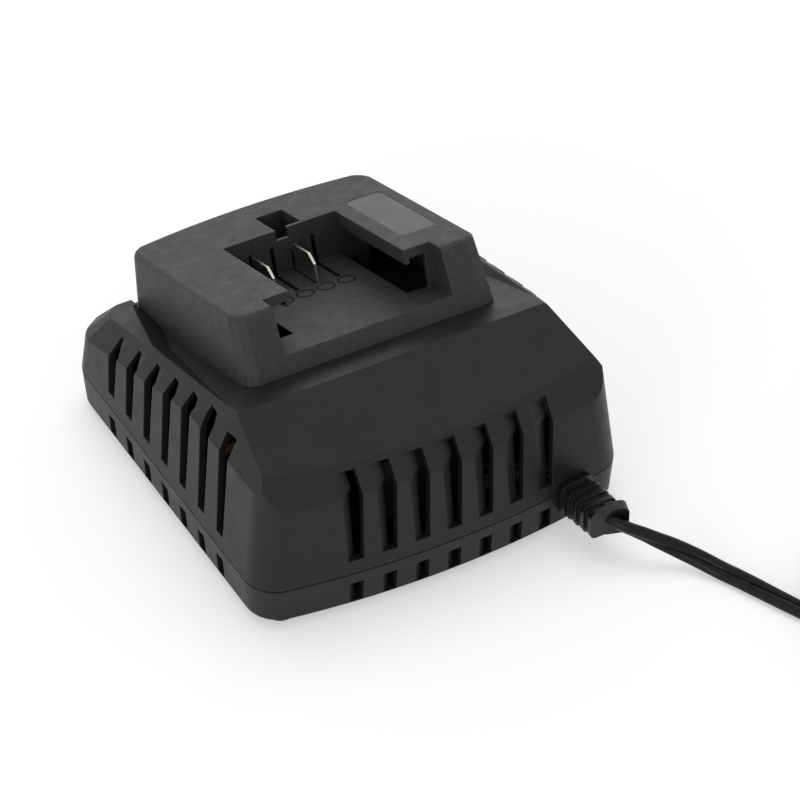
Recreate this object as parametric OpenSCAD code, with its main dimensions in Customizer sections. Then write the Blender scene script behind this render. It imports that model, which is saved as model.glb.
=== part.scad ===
// Desktop battery charger with a slide-in battery dock, a vented two-part case and a
// two-core flat mains lead. Units are millimetres. X runs across the case, Y from front
// to back and Z up. The feet stand on Z = 0 and the case is centred on X = 0, Y = 0.

/* [Case] */
// Width of the case at the parting line
case_width = 118; // [117:0.5:119]
// Depth of the case at the parting line, from the front bulge to the back bulge
case_depth = 126; // [125:0.5:127]
// Height of the parting line between the two shells
seam_height = 14; // [13.5:0.1:14.4]
// How far the front wall bulges out of its chord
front_bulge = 6.1; // [5:0.1:7]
// How far the back wall bulges out of its chord
back_bulge = 2; // [1.5:0.1:3]
// Radius of the upright corners of the case
corner_radius = 9.8; // [8:0.2:11]
// Wall thickness of both shells
wall = 2.2; // [2:0.1:2.5]
// Draft of the side walls above the parting line, in degrees
side_draft = 7; // [6:0.1:7.4]
// Draft of the front and back walls above the parting line, in degrees
front_draft = 4.3; // [3.5:0.1:5]
// Draft of every wall below the parting line, in degrees
base_draft = 3.5; // [2:0.5:5]
// Height of the underside of the case above the table
base_height = 1.9; // [1.8:0.1:2.2]
// Width of the shadow gap between the shells
seam_gap = 0.4; // [0.3:0.05:0.5]

/* [Deck] */
// Height of the ridge across the deck
ridge_height = 54.9; // [54.5:0.1:55.5]
// Distance of the ridge in front of the middle of the case
ridge_front = 27.9; // [27.5:0.1:28.5]
// Slope of the deck behind the ridge, in degrees
deck_slope = 15.2; // [15:0.1:15.5]
// Slope of the deck in front of the ridge, in degrees
front_slope = 14.8; // [14:0.1:15.5]
// Steepness of the bevel along the front, in degrees
bevel_slope = 52; // [50:0.5:54]
// Height at which the front wall turns into its bevel
bevel_height = 40.5; // [40:0.1:41]

/* [Vents] */
// Distance between the side slots
side_pitch = 11.35; // [11.2:0.05:11.5]
// Width of a side slot at its foot
side_slot_width = 3.9; // [3.5:0.1:4.2]
// Distance between the front slots
front_pitch = 10.15; // [9.9:0.05:10.3]
// Width of a front slot at its foot
front_slot_width = 4.6; // [4:0.1:5]
// Height of the foot of the slots
slot_foot = 18.5; // [18:0.1:19]
// How far a louvre leans across for every millimetre that it goes into a side wall
wall_lean = 1.3; // [1.1:0.05:1.4]
// The same in the front wall, where the slots are wider
front_lean = 1.62; // [1.4:0.02:1.64]
// The same in the bevel over the wall
bevel_lean = 2; // [1.8:0.1:2.1]

/* [Dock] */
// Tilt of the battery dock, in degrees
dock_tilt = 18; // [17.5:0.1:18.5]
// Width of the top of the dock
dock_width = 78.4; // [78:0.1:79]
// Distance from the contact wall to the front edge of the dock
dock_front = 49.5; // [49:0.1:50]
// Distance from the contact wall to the back edge of the dock
dock_back = 25.6; // [25:0.1:26]
// Height of the dock above the deck, across its own top
dock_height = 19.4; // [19:0.1:19.6]
// Clear width between the two guide rails
rail_gap = 36.8; // [36.5:0.1:37.2]
// Thickness of the guide rails
rail_thickness = 3; // [2.8:0.1:3.2]
// Clear width of the grooves under the guide rails
groove_width = 50; // [49:0.5:51]
// Depth of the floor of the dock below its top
floor_depth = 13.8; // [13.5:0.1:14.2]
// Distance between neighbouring contacts
contact_pitch = 6.72; // [6.6:0.02:6.8]
// Length of the contact blades
blade_length = 14; // [13:0.5:14.5]
// Thickness of the contact blades
blade_thickness = 0.8; // [0.6:0.1:1]

/* [Mains lead] */
// Width of the flat mains lead
cord_width = 5.4; // [5.2:0.1:5.6]
// Thickness of the flat mains lead
cord_thickness = 3.4; // [3.2:0.1:3.5]
// Radius of the middle of the coiled part of the lead
coil_radius = 28; // [26:0.5:28]
// Distance between the mains plug's blades
plug_spacing = 12.7; // [12.6:0.05:12.8]
// Length of the mains plug's blades
plug_blade_length = 17; // [16:0.5:18]

/* [Hidden] */
$fn = 48;
eps = 0.05;
big = 200;
half_w = case_width / 2;
front_y = -case_depth / 2;
back_y = case_depth / 2;
floor_top = base_height + wall;

// Radii of the bowed walls and the distance of their axes from the middle
front_r = (half_w * half_w + front_bulge * front_bulge) / (2 * front_bulge);
back_r = (half_w * half_w + back_bulge * back_bulge) / (2 * back_bulge);
front_axis = front_y + front_r;
back_axis = back_y - back_r;

// The board, which stands on posts of the lower shell
board_w = 83;
board_d = 102;
board_t = 1.6;
board_z = 9;
board_top = board_z + board_t;
board_posts = [[-36, -45], [36, -45], [-36, 45], [36, 45]];
case_posts = [[-47.5, -46], [47.5, -46], [-47.5, 46], [47.5, 46]];
feet = [[-49.5, -51.3], [49.5, -51.3], [-49.5, 49.5], [49.5, 49.5]];
screw_r = 1.5;
clear = 0.05;
louvre_step = 0.15;

// Where the lead's strain relief goes through the front wall, square to the bowed wall
gland = [40.2, -60.3, 12.4];
gland_hole = [10.4, 8];
gland_turn = asin(gland[0] / front_r);

// The dock, in its own tilted frame
dock_origin = [0, 40.25, 53.4];
dock_wall = 2.5;
dock_top_w = dock_width / 2;
dock_corner = 4;
groove_top = -rail_thickness;
mouth = 42.8;
mouth_half = 26.9;
contact_u = [-1.5, -0.5, 0.5, 1.5];
blades = [0, 2];
blade_top = -4.8;
pocket = [-1.2, 7.7, 13.6];
pocket_depth = 8.5;
label_box = [23.4, -33, 35, 3.2];
dock_screws_at = [[-33, -36], [33, -36], [-33, 12], [33, 12]];
opening = [-16, -26, 16, 12];

// Where the transformer and the heat sink stand on the board
core_at = [-8, -34];
core_size = [48, 16, 34];
core_leg = 15;
core_window = [7.5, 22];
sink_at = [-10, 35];

// The mains lead from its exit along the table to where it is wound up
cord_route = [
  [43.3, -75.1, 12.4],
  [43.9, -77.1, 12.3],
  [45.1, -79.1, 11.9],
  [47.2, -81.1, 11],
  [49.8, -83.2, 9.8],
  [52.6, -85.6, 8.3],
  [55.6, -88.1, 6.8],
  [58.3, -90.7, 5.4],
  [60.9, -93.7, 4.2],
  [63.2, -96.9, 3.2],
  [65.3, -100.4, 2.5],
  [67.4, -104.7, 2],
  [69.7, -109.7, 1.8],
  [72.2, -115.3, 1.8],
  [74.9, -121.3, 1.8],
  [77.8, -127.6, 1.8]
];
// From the coil to the plug that lies beside it
plug_route = [
  [140.6, -114, 1.8],
  [140.6, -110, 2],
  [140.6, -105.5, 2.9],
  [140.6, -101, 4.3],
  [140.6, -96.5, 5.8],
  [140.6, -92, 6.9],
  [140.6, -88.4, 7.4]
];
coil_at = [112.6, -136.3];
coil_w = 3 * cord_width + 0.2;
coil_h = 3 * cord_thickness + 0.4;
plug_at = [140.6, -88, 7.4];

function unit(v) = v / norm(v);
// Outward normal of a wall of draft d that faces the direction a in plan
function wall_normal(a, d) = [cos(a) * cos(d), sin(a) * cos(d), sin(d)];
// Y on the bowed front wall at x, at the parting line
function front_at(x) = front_axis - sqrt(front_r * front_r - x * x);
// Y on the bowed back wall at x, at the parting line
function back_at(x) = back_axis + sqrt(back_r * back_r - x * x);
// Height of the rim of the deck at y
function rim_z(y) = ridge_height - (y + ridge_front) * tan(deck_slope);

// Height at which a side wall turns into its bevel, at y
function side_bevel_z(y) = y > -24 ? 41.4 - 0.2635 * y : 47.7 + 0.235 * (y + 24);

// A solid half space whose face passes through p with the outward normal n
module half_space(p, n) {
  u = unit(n);
  yaw = atan2(u[1], u[0]);
  pitch = acos(u[2]);
  translate(p)
    rotate([0, pitch, yaw])
      translate([-big, -big, 0])
        cube([2 * big, 2 * big, 2 * big]);
}

// Cuts the edge between two faces that meet at p to the radius r
module edge_cutter(p, n1, n2, r) {
  e = unit(cross(n1, n2));
  m = unit(n1 + n2);
  s = cross(e, m);
  half = acos(n1 * m);
  t = r * tan(half);
  reach = 3;
  multmatrix([
    [m[0], s[0], e[0], p[0]],
    [m[1], s[1], e[1], p[1]],
    [m[2], s[2], e[2], p[2]],
    [0, 0, 0, 1]
  ])
    translate([0, 0, -40])
      linear_extrude(120)
        difference() {
          polygon([
            [-t * sin(half), t * cos(half)],
            [-t * sin(half) + reach * cos(half), t * cos(half) + reach * sin(half)],
            [reach, 0],
            [-t * sin(half) + reach * cos(half), -t * cos(half) - reach * sin(half)],
            [-t * sin(half), -t * cos(half)]
          ]);
          translate([-r / cos(half), 0])
            circle(r, $fn = 96);
        }
}

// Cuts the same edge with one flat that touches that radius
module edge_flat(p, n1, n2, r) {
  m = unit(n1 + n2);
  half_space(p - m * r * (1 / (n1 * m) - 1), m);
}

// The walls of the case with all its upright corners, from z0 to z1, set in by inset.
// The corners are round outside and flat inside.
module case_walls(z0, z1, side_d, end_d, inset) {
  w = half_w - inset;
  k = tan(end_d);
  r = max(corner_radius - inset, 2);
  slope_f = asin(half_w / front_r);
  slope_b = asin(half_w / back_r);
  n_front = wall_normal(-90 - slope_f * 0.9, end_d);
  n_back = wall_normal(90 + slope_b * 0.9, end_d);
  n_side = wall_normal(180, side_d);
  difference() {
    intersection() {
      translate([0, front_axis, z0])
        cylinder(
          h = z1 - z0,
          r1 = front_r - inset - (z0 - seam_height) * k,
          r2 = front_r - inset - (z1 - seam_height) * k,
          $fn = 360
        );
      translate([0, back_axis, z0])
        cylinder(
          h = z1 - z0,
          r1 = back_r - inset - (z0 - seam_height) * k,
          r2 = back_r - inset - (z1 - seam_height) * k,
          $fn = 360
        );
      translate([-half_w - 10, -case_depth, z0])
        cube([case_width + 20, 2 * case_depth, z1 - z0]);
    }
    for (side = [0, 1])
      mirror([side, 0, 0]) {
        half_space([-w, 0, seam_height], n_side);
        if (inset > 0) {
          edge_flat([-w, front_at(w) + inset, seam_height], n_side, n_front, r);
          edge_flat([-w, back_at(w) - inset, seam_height], n_back, n_side, r);
        } else {
          edge_cutter([-w, front_at(w), seam_height], n_side, n_front, r);
          edge_cutter([-w, back_at(w), seam_height], n_back, n_side, r);
        }
      }
  }
}

// Everything above the deck: its two slopes and the bevels round them
module above_deck(inset) {
  half_space([0, -ridge_front, ridge_height - inset], [0, sin(deck_slope), cos(deck_slope)]);
  half_space([0, -ridge_front, ridge_height - inset], [0, -sin(front_slope), cos(front_slope)]);
  for (side = [0, 1])
    mirror([side, 0, 0]) {
      half_space([-49.2 + inset, -24, 53.7], [-0.692, 0.175, 0.7]);
      half_space([-49.4 + inset, -27.9, 54.7], [-0.873, 0.006, 0.488]);
      for (a = [32, 52, 72])
        half_space(
          [-43.2 - 7.6 * cos(a) + inset, 49.2 + 7.6 * sin(a) - inset, rim_z(49.2 + 7.6 * sin(a))],
          [-0.72 * cos(a), 0.72 * sin(a), 0.69]
        );
    }
  half_space([0, 56.5 - inset, rim_z(56.5)], [0, 0.76, 0.65]);
}

// The cone whose slope makes the bevel along the front, as a solid outside it
module front_bevel(inset) {
  low = bevel_height - 6;
  high = bevel_height + 14;
  r_edge = front_r - (bevel_height - seam_height) * tan(front_draft) - inset * 1.2;
  run = tan(90 - bevel_slope);
  difference() {
    translate([-half_w - 5, front_y - 5, low])
      cube([case_width + 10, 40, high - low + 6]);
    translate([0, front_axis, low - 1])
      cylinder(
        h = high - low + 8,
        r1 = r_edge + (bevel_height - low + 1) * run,
        r2 = r_edge - (high + 7 - bevel_height) * run,
        $fn = 360
      );
  }
}

// The outside of the upper shell as a plain block, set in by inset
module upper_block(z0, inset) {
  difference() {
    case_walls(z0, ridge_height + 3, side_draft, front_draft, inset);
    above_deck(inset);
    front_bevel(inset);
  }
}

// The basin that the dock stands in; grow makes room for the wall under it. Its floor
// runs out in the deck at the front, and its sides slope up to the deck and close in
// on the dock at the back.
module basin(grow) {
  side_slope = 27;
  turns = [[0, 0], [26, -13.2]];
  reach = dock_top_w + 1.6 + grow;
  difference() {
    dock_frame()
      translate([-60, -70, -dock_height - grow])
        cube([120, 88 + grow, 60]);
    translate([0, 0, rim_z(0)])
      rotate([-deck_slope, 0, 0])
        for (side = [0, 1], turn = turns)
          mirror([side, 0, 0])
            translate([-49, turn[0], 0])
              rotate([0, 0, turn[1]])
                half_space(
                  [-grow * sin(side_slope), 0, -grow * cos(side_slope)],
                  [-sin(side_slope), 0, -cos(side_slope)]
                );
  }
  dock_frame()
    translate([0, 0, -dock_height - grow])
      linear_extrude(40)
        rounded_box(-reach, -20, reach, 60, 2);
}

// A rectangle between two corners with round corners of radius r
module rounded_box(x0, y0, x1, y1, r) {
  translate([x0 + r, y0])
    square([x1 - x0 - 2 * r, y1 - y0]);
  translate([x0, y0 + r])
    square([x1 - x0, y1 - y0 - 2 * r]);
  for (x = [x0 + r, x1 - r], y = [y0 + r, y1 - r])
    translate([x, y])
      circle(r, $fn = 32);
}

// Places its children in the frame of the dock: X across, Y to the back along the
// tilted top and Z out of it, from the top edge of the contact wall
module dock_frame() {
  translate(dock_origin)
    rotate([-dock_tilt, 0, 0])
      children();
}

// A round post of radius r from z0 to z1 at each place
module posts(places, r, z0, z1) {
  for (p = places)
    translate([p[0], p[1], z0])
      cylinder(h = z1 - z0, r = r);
}

// The shape of a side slot, drawn from the side: it leans back as it goes up
module side_slot_shape(y) {
  foot = side_slot_width / 2;
  head = foot + 0.7;
  lean = 0.09;
  top = side_bevel_z(y + 2.5) + 3.9;
  back = y + (top - slot_foot) * lean;
  polygon([
    [y - foot, slot_foot],
    [y + foot, slot_foot],
    [back + head, top - 0.3],
    [back - head, top + 0.3]
  ]);
}

// The row of side slots, counted from the back. From the front edge of each one a louvre
// leans back into the case, flatter in the bevel than in the wall.
module side_slots() {
  for (i = [0:6], side = [0, 1])
    mirror([side, 0, 0]) {
      y = 35.1 - i * side_pitch;
      edge = y - side_slot_width / 2;
      knee = side_bevel_z(edge);
      difference() {
        translate([-half_w - 0.8, 0, 0])
          rotate([90, 0, 90])
            linear_extrude(12)
              side_slot_shape(y);
        intersection() {
          half_space(
            [(slot_foot - seam_height) * tan(side_draft) + louvre_step - half_w, edge, slot_foot],
            cross([1, wall_lean, 0], [tan(side_draft), 0, 1])
          );
          half_space(
            [(knee - seam_height) * tan(side_draft) + louvre_step - half_w, edge, knee],
            cross([1, bevel_lean, 0], [1, 0, 1])
          );
        }
      }
    }
}

// The row of front slots, which run up through the bevel. From the left edge of each one
// a louvre leans across into the case, flatter in the bevel than in the wall.
module front_slots() {
  foot = front_slot_width / 2;
  head = foot + 0.75;
  top = bevel_height + 5.9;
  rise = bevel_height - slot_foot;
  back = tan(front_draft);
  for (i = [-3:3]) {
    edge = front_at(i * front_pitch - head) + louvre_step;
    translate([i * front_pitch, 0, 0])
      difference() {
        translate([0, edge + 7.6, 0])
          rotate([90, 0, 0])
            linear_extrude(12)
              polygon([
                [-foot, slot_foot],
                [foot, slot_foot],
                [head, bevel_height],
                [head, top],
                [-head, top],
                [-head, bevel_height]
              ]);
        intersection() {
          half_space(
            [-foot, edge + (slot_foot - seam_height) * back, slot_foot],
            cross([foot - head, rise * back, rise], [front_lean, 1, 0])
          );
          half_space(
            [-head, edge + (bevel_height - seam_height) * back, bevel_height],
            cross([0, tan(90 - bevel_slope), 1], [bevel_lean, 1, 0])
          );
        }
      }
  }
}

// The air gaps in the wall of the lower shell, under every slot, with louvres like those
// of the slots
module base_notches() {
  low = base_height + 1.2;
  rise = seam_height - 3.7 - low;
  for (i = [0:6], side = [0, 1])
    mirror([side, 0, 0]) {
      y = 35.1 - i * side_pitch - 2;
      difference() {
        translate([-half_w - 1, y, low])
          cube([5, 4, rise]);
        half_space([louvre_step + 0.4 - half_w, y, low], [wall_lean, -1, 0]);
      }
    }
  for (i = [-3:3]) {
    x = i * front_pitch - 2.1;
    difference() {
      translate([x, front_at(x) - 1, low])
        cube([4.2, 5.4, rise]);
      half_space([x, front_at(x) + louvre_step + 0.4, low], [-1, wall_lean, 0]);
    }
  }
}

// The opening in the front wall that the strain relief sits in
module gland_opening() {
  x = gland_hole[0] / 2;
  z = gland_hole[1] / 2;
  translate(gland)
    rotate([90, 0, gland_turn])
      translate([0, 0, -6])
        linear_extrude(12)
          rounded_box(-x, -z, x, z, 2);
}

module upper_shell() {
  color("#3d3e3e") {
    difference() {
      upper_block(seam_height + seam_gap / 2, 0);
      basin(0);
      difference() {
        upper_block(seam_height - 1, wall);
        basin(wall);
      }
      side_slots();
      front_slots();
      gland_opening();
      dock_frame()
        translate([0, 0, -dock_height - 6])
          linear_extrude(12)
            rounded_box(opening[0], opening[1], opening[2], opening[3], 3);
      dock_frame()
        posts(dock_screws_at, screw_r + clear, -dock_height - 6, -dock_height + 2);
    }
    case_bosses();
  }
}

// The four screw bosses that hang from the deck into the case
module case_bosses() {
  difference() {
    intersection() {
      posts(case_posts, 4, seam_height + seam_gap / 2, 52);
      upper_block(seam_height, 1);
      difference() {
        translate([-half_w, front_y, 0])
          cube([case_width, case_depth, 60]);
        basin(1);
      }
    }
    posts(case_posts, screw_r + clear, 0, 27);
  }
}

module lower_shell() {
  z1 = seam_height - seam_gap / 2;
  color("#37383a")
    difference() {
      union() {
        difference() {
          intersection() {
            base_block(base_height, z1, 0);
            base_edge();
          }
          base_block(floor_top, z1 + 1, wall);
        }
        posts(board_posts, 3.2, floor_top - eps, board_z);
        posts(case_posts, 4.2, floor_top - eps, z1);
      }
      posts(board_posts, screw_r + clear, floor_top, board_z + 1);
      posts(case_posts, screw_r + clear, 0, z1 + 1);
      posts(case_posts, 3.2, 0, base_height + 3.4);
      posts(feet, 4.55, 0, base_height + 0.8);
      base_notches();
      gland_opening();
      floor_vents();
    }
}

// The walls below the parting line, with the drafts turned the other way
module base_block(z0, z1, inset) {
  translate([0, 0, 2 * seam_height])
    mirror([0, 0, 1])
      case_walls(2 * seam_height - z1, 2 * seam_height - z0, base_draft, base_draft, inset);
}

// The outline of the case at the underside, grown by g
module base_outline(g) {
  shrink = (seam_height - base_height) * tan(base_draft);
  offset(r = corner_radius)
    offset(delta = g - corner_radius)
      intersection() {
        translate([0, front_axis])
          circle(front_r - shrink, $fn = 360);
        translate([0, back_axis])
          circle(back_r - shrink, $fn = 720);
        translate([shrink - half_w, -case_depth])
          square([case_width - 2 * shrink, 2 * case_depth]);
      }
}

// Everything inside the rounded bottom edge
module base_edge() {
  edge = 1.4;
  hull() {
    for (a = [0:30:90])
      translate([0, 0, base_height + edge * (1 - cos(a))])
        linear_extrude(0.01)
          base_outline(-edge * (1 - sin(a)));
    translate([0, 0, seam_height])
      linear_extrude(1)
        base_outline(6);
  }
}

// The air slots in the floor of the case
module floor_vents() {
  for (i = [-4:4])
    translate([i * 7 - 1.5, 2, 0])
      cube([3, 26, floor_top + 1]);
}

// The outline of the dock at a level, grown by g, with its bowed back edge
module dock_outline(g, drop) {
  side = dock_top_w + drop * 0.06 + g;
  front = dock_front + drop * 0.244 + g;
  back = dock_back + drop * 0.12 + g;
  bow = 180;
  intersection() {
    union() {
      translate([-side + dock_corner, -front])
        square([2 * (side - dock_corner), 20]);
      translate([-side, -front + dock_corner])
        square([2 * side, 30]);
      for (x = [-1, 1])
        translate([x * (side - dock_corner), -front + dock_corner])
          circle(dock_corner, $fn = 8);
      rounded_box(-side, -20, side, back - 2.4, 8 + g);
      translate([-27, 0])
        square([54, back]);
    }
    translate([0, back - bow])
      circle(bow, $fn = 240);
  }
}

// The dock as a closed block, with its top edge rounded
module dock_block() {
  edge = 1.4;
  hull() {
    for (level = [
      [0, -edge],
      [-edge * 0.134, -edge * 0.5],
      [-edge * 0.5, -edge * 0.134],
      [-edge, 0]
    ])
      translate([0, 0, level[0] - 0.01])
        linear_extrude(0.01)
          dock_outline(level[1], -level[0]);
    translate([0, 0, -dock_height])
      linear_extrude(0.01)
        dock_outline(0, dock_height);
  }
}

// The way in for the battery: the mouth, the channel and the grooves under the rails,
// which are open to the hollow sides of the dock
module dock_channel() {
  half = rail_gap / 2;
  lip = 1.5;
  translate([0, 0, -floor_depth])
    linear_extrude(floor_depth + 5)
      polygon([
        [-mouth_half, -dock_front - 12],
        [mouth_half, -dock_front - 12],
        [mouth_half, -mouth],
        [half, -mouth],
        [half, 0],
        [-half, 0],
        [-half, -mouth],
        [-mouth_half, -mouth]
      ]);
  translate([-groove_width / 2, -dock_front - 4, -floor_depth])
    cube([groove_width, dock_front + 4, floor_depth - rail_thickness - lip]);
  for (side = [-1, 1])
    translate([side * (half + lip + groove_width / 2) / 2, -mouth / 2 - 2, groove_top])
      translate([-(groove_width / 2 - half - lip) / 2, -mouth / 2 - 3, -lip - eps])
        cube([groove_width / 2 - half - lip, mouth + 5, lip + eps]);
  for (side = [0, 1])
    mirror([side, 0, 0])
      translate([half, -mouth + 1.8, -dock_height - 1])
        cube([
          groove_width / 2 + dock_wall + 1 - half,
          mouth - 1.8,
          dock_height + 1 - rail_thickness - lip
        ]);
}

// The slits in the contact wall and in the floor before it
module contact_slits() {
  slit = 1.3;
  for (k = contact_u)
    translate([k * contact_pitch - slit / 2, -blade_length - 0.3, -dock_height - 1])
      cube([slit, blade_length + dock_wall + 1.8, dock_height + 1 + blade_top - 0.2]);
}

// The pocket that the battery's catch drops into
module latch_pocket() {
  translate([pocket[0], 1.2, -pocket_depth])
    cube([pocket[1] - pocket[0], pocket[2] - 1.2, pocket_depth + 2]);
  translate([pocket[0], -1, -3.2])
    cube([3.9, 3, 5]);
}

// What is scooped out of the dock from below
module dock_hollow() {
  side0 = groove_width / 2 + dock_wall;
  side1 = dock_top_w - dock_wall;
  low = -dock_height - 1;
  for (s = [-1, 1])
    translate([s * (side0 + side1) / 2 - (side1 - side0) / 2, -dock_front + 6, low])
      cube([side1 - side0, dock_front + 12, -low - dock_wall]);
  translate([-side0 + 4, dock_wall, low])
    cube([side0 - 4 + pocket[0] - dock_wall, dock_back - 8, -low - dock_wall]);
  translate([pocket[1] + dock_wall, dock_wall, low])
    cube([side0 - 4 - pocket[1] - dock_wall, dock_back - 8, -low - dock_wall]);
  translate([-side0 + 4, -dock_front + 4, low])
    cube([2 * side0 - 8, dock_front + 2, -low - floor_depth - dock_wall]);
}

module battery_dock() {
  color("#5a5b5b")
    dock_frame() {
      difference() {
        dock_block();
        dock_channel();
        contact_slits();
        latch_pocket();
        dock_hollow();
        label_recess(0);
      }
      difference() {
        posts(dock_screws_at, 2.8, -dock_height, -dock_wall + eps);
        posts(dock_screws_at, screw_r + clear, -dock_height - 1, -dock_height + 8);
      }
    }
}

// The shallow recess beside the channel, or the label that fills it but for a gap
module label_recess(gap) {
  depth = 0.5;
  translate([0, 0, -depth])
    linear_extrude(depth + (gap > 0 ? -0.1 : 2))
      rounded_box(
        label_box[0] + gap, label_box[1] + gap, label_box[2] - gap, label_box[3] - gap, 2
      );
}

module label_plate() {
  color("#5f6062")
    dock_frame()
      label_recess(clear);
}

// A blade contact with its tail through the terminal block
module terminal(k) {
  u = contact_u[k] * contact_pitch;
  color("#c9b06a")
    dock_frame() {
      translate([u + blade_thickness / 2, 0, 0])
        rotate([90, 0, -90])
          linear_extrude(blade_thickness)
            polygon([
              [0.4, -floor_depth - 3],
              [blade_length, -floor_depth - 3],
              [blade_length, blade_top - 3],
              [blade_length - 3, blade_top - 0.3],
              [0.4, blade_top - 0.3]
            ]);
      translate([u - blade_thickness / 2, -9, -floor_depth - 8.5])
        cube([blade_thickness, 3, 6]);
    }
}

module terminal_positive() {
  terminal(0);
}

module terminal_negative() {
  terminal(2);
}

// The block under the floor of the dock that holds both contacts
module terminal_block() {
  top = -floor_depth - dock_wall - 0.1;
  slot = blade_thickness + 2 * clear;
  color("#d8d4c6")
    dock_frame()
      difference() {
        translate([-14, -blade_length - 2.2, top - 3.4])
          cube([28, blade_length + 4, 3.4]);
        for (k = blades)
          translate([contact_u[k] * contact_pitch - slot / 2, -blade_length - 0.1, top - 4])
            cube([slot, blade_length - 0.2, 5]);
      }
}

// The two wires from the contacts down to the board
module terminal_leads() {
  color("#a02420")
    for (k = blades)
      translate([contact_u[k] * contact_pitch, 26.2, board_top])
        cylinder(h = 23.3, r = 1.1);
}

module circuit_board() {
  color("#3f6b3a")
    difference() {
      translate([-board_w / 2, -board_d / 2, board_z])
        cube([board_w, board_d, board_t]);
      posts(board_posts, screw_r + 0.1, board_z - 1, board_top + 1);
    }
}

module transformer_core() {
  x = core_size[0];
  y = core_size[1];
  color("#6d6f72")
    translate([core_at[0], core_at[1], board_top])
      difference() {
        translate([-x / 2, -y / 2, 0])
          cube(core_size);
        for (side = [-1, 1])
          translate([side * (core_leg + core_window[0]) / 2 - core_window[0] / 2, -y, 6])
            cube([core_window[0], 2 * y, core_window[1]]);
      }
}

module transformer_winding() {
  half = core_leg / 2 + core_window[0] - 0.3;
  color("#a8662f")
    translate([core_at[0], core_at[1], board_top + 6.3])
      difference() {
        translate([0, 0, (core_window[1] - 0.6) / 2])
          linear_extrude(core_window[1] - 0.6, center = true)
            rounded_box(-half, -half, half, half, 3);
        translate([-core_leg / 2 - 0.1, -core_size[1] / 2 - 0.1, -1])
          cube([core_leg + 0.2, core_size[1] + 0.2, core_window[1] + 2]);
      }
}

// A standing can capacitor with its rubber seal and a rolled groove
module can_capacitor(x, y, r, h) {
  translate([x, y, board_top])
    rotate_extrude()
      polygon([
        [0, 0],
        [r - 0.3, 0],
        [r, 0.3],
        [r, 2],
        [r - 0.5, 2.5],
        [r, 3],
        [r, h - 0.6],
        [r - 0.6, h],
        [0, h]
      ]);
}

module input_capacitor() {
  color("#2b3a55")
    can_capacitor(30, -33, 9, 27);
}

module output_capacitors() {
  color("#2b3a55") {
    can_capacitor(26, 12, 5, 16);
    can_capacitor(26, 24, 5, 16);
  }
}

module filter_capacitor() {
  color("#c7a23a")
    translate([24, -19.5, board_top])
      cube([16, 8, 13]);
}

module choke_core() {
  color("#4a4c4e")
    translate([26, -2, board_top + 0.8])
      rotate_extrude()
        translate([4, 0])
          square([4, 5]);
}

module choke_winding() {
  color("#b5652c")
    translate([26, -2, board_top])
      for (a = [30, 210])
        rotate([0, 0, a])
          rotate_extrude(angle = 120)
            difference() {
              translate([3.2, 0])
                square([5.6, 6.6]);
              translate([3.95, 0.75])
                square([4.1, 5.1]);
            }
}

module fuse_tube() {
  color("#cfd6d8")
    translate([13, -47.6, board_top + 4])
      rotate([0, 90, 0])
        cylinder(h = 20, r = 2.5);
}

module fuse_clips() {
  color("#c8c8c4")
    for (x = [14, 29])
      difference() {
        translate([x, -47.6 - 3.3, board_top])
          cube([3, 6.6, 5.5]);
        translate([x - 1, -47.6, board_top + 4])
          rotate([0, 90, 0])
            cylinder(h = 5, r = 2.55);
      }
}

module heat_sink() {
  color("#b9bcc0")
    translate([sink_at[0], sink_at[1], board_top]) {
      translate([-20, 0, 0])
        cube([40, 2.5, 15]);
      for (i = [0:6])
        translate([-20 + i * 6.25, 2.4, 0])
          cube([2.5, 7, 15]);
    }
}

// A transistor or a bridge rectifier standing against the heat sink, with its legs
module tab_part(x, w, h, legs) {
  translate([x, sink_at[1], board_top]) {
    translate([-w / 2, -4.6, 3.5])
      cube([w, 4.5, h]);
    for (i = [0:legs - 1])
      translate([(i - (legs - 1) / 2) * 2.54 - 0.4, -2.6, 0])
        cube([0.8, 0.6, 3.6]);
  }
}

module power_transistor() {
  color("#26272a")
    tab_part(-22, 10, 10, 3);
}

module rectifier() {
  color("#26272a")
    tab_part(4, 12, 10, 4);
}

module control_chip() {
  color("#222326")
    translate([-22, 6, board_top]) {
      translate([-3.2, -5, 0.6])
        cube([6.4, 10, 3.2]);
      for (i = [-1.5:1.5], side = [-1, 1])
        translate([side * 3.6 - 0.45, i * 2.54 - 0.25, 0])
          cube([0.9, 0.5, 2.2]);
    }
}

module resistors() {
  color("#b89a6e")
    for (i = [0:3])
      translate([-38, -8 + i * 6, board_top + 1.6])
        rotate([0, 90, 0]) {
          cylinder(h = 7, r = 1.5);
          translate([0, 0, -1.6])
            cylinder(h = 10.2, r = 0.35);
        }
}

// A screw with a pan head, pointing up from its head
module screw(length) {
  cylinder(h = 2.2, r = 2.8);
  translate([0, 0, 2.2 - eps])
    cylinder(h = length, r = screw_r);
}

module case_screws() {
  color("#8d9094")
    for (p = case_posts)
      translate([p[0], p[1], base_height + 1.2])
        screw(19);
}

module board_screws() {
  color("#8d9094")
    for (p = board_posts)
      translate([p[0], p[1], board_top + 2.2])
        mirror([0, 0, 1])
          screw(5);
}

module dock_screws() {
  color("#8d9094")
    dock_frame()
      for (p = dock_screws_at)
        translate([p[0], p[1], -dock_height - wall * 1.05 - 2.6])
          screw(8);
}

module rubber_feet() {
  color("#1c1c1d")
    for (p = feet)
      translate([p[0], p[1], 0])
        rotate_extrude()
          polygon([[0, 0], [4, 0], [4.5, 0.5], [4.5, base_height + 0.8], [0, base_height + 0.8]]);
}

// A plate of the strain relief, seen along the lead, t thick and centred on y
module relief_plate(x, y, half_x, half_z, t) {
  translate([x, y + t / 2, 0])
    rotate([90, 0, 0])
      linear_extrude(t)
        rounded_box(-half_x, -half_z, half_x, half_z, 2);
}

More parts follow.
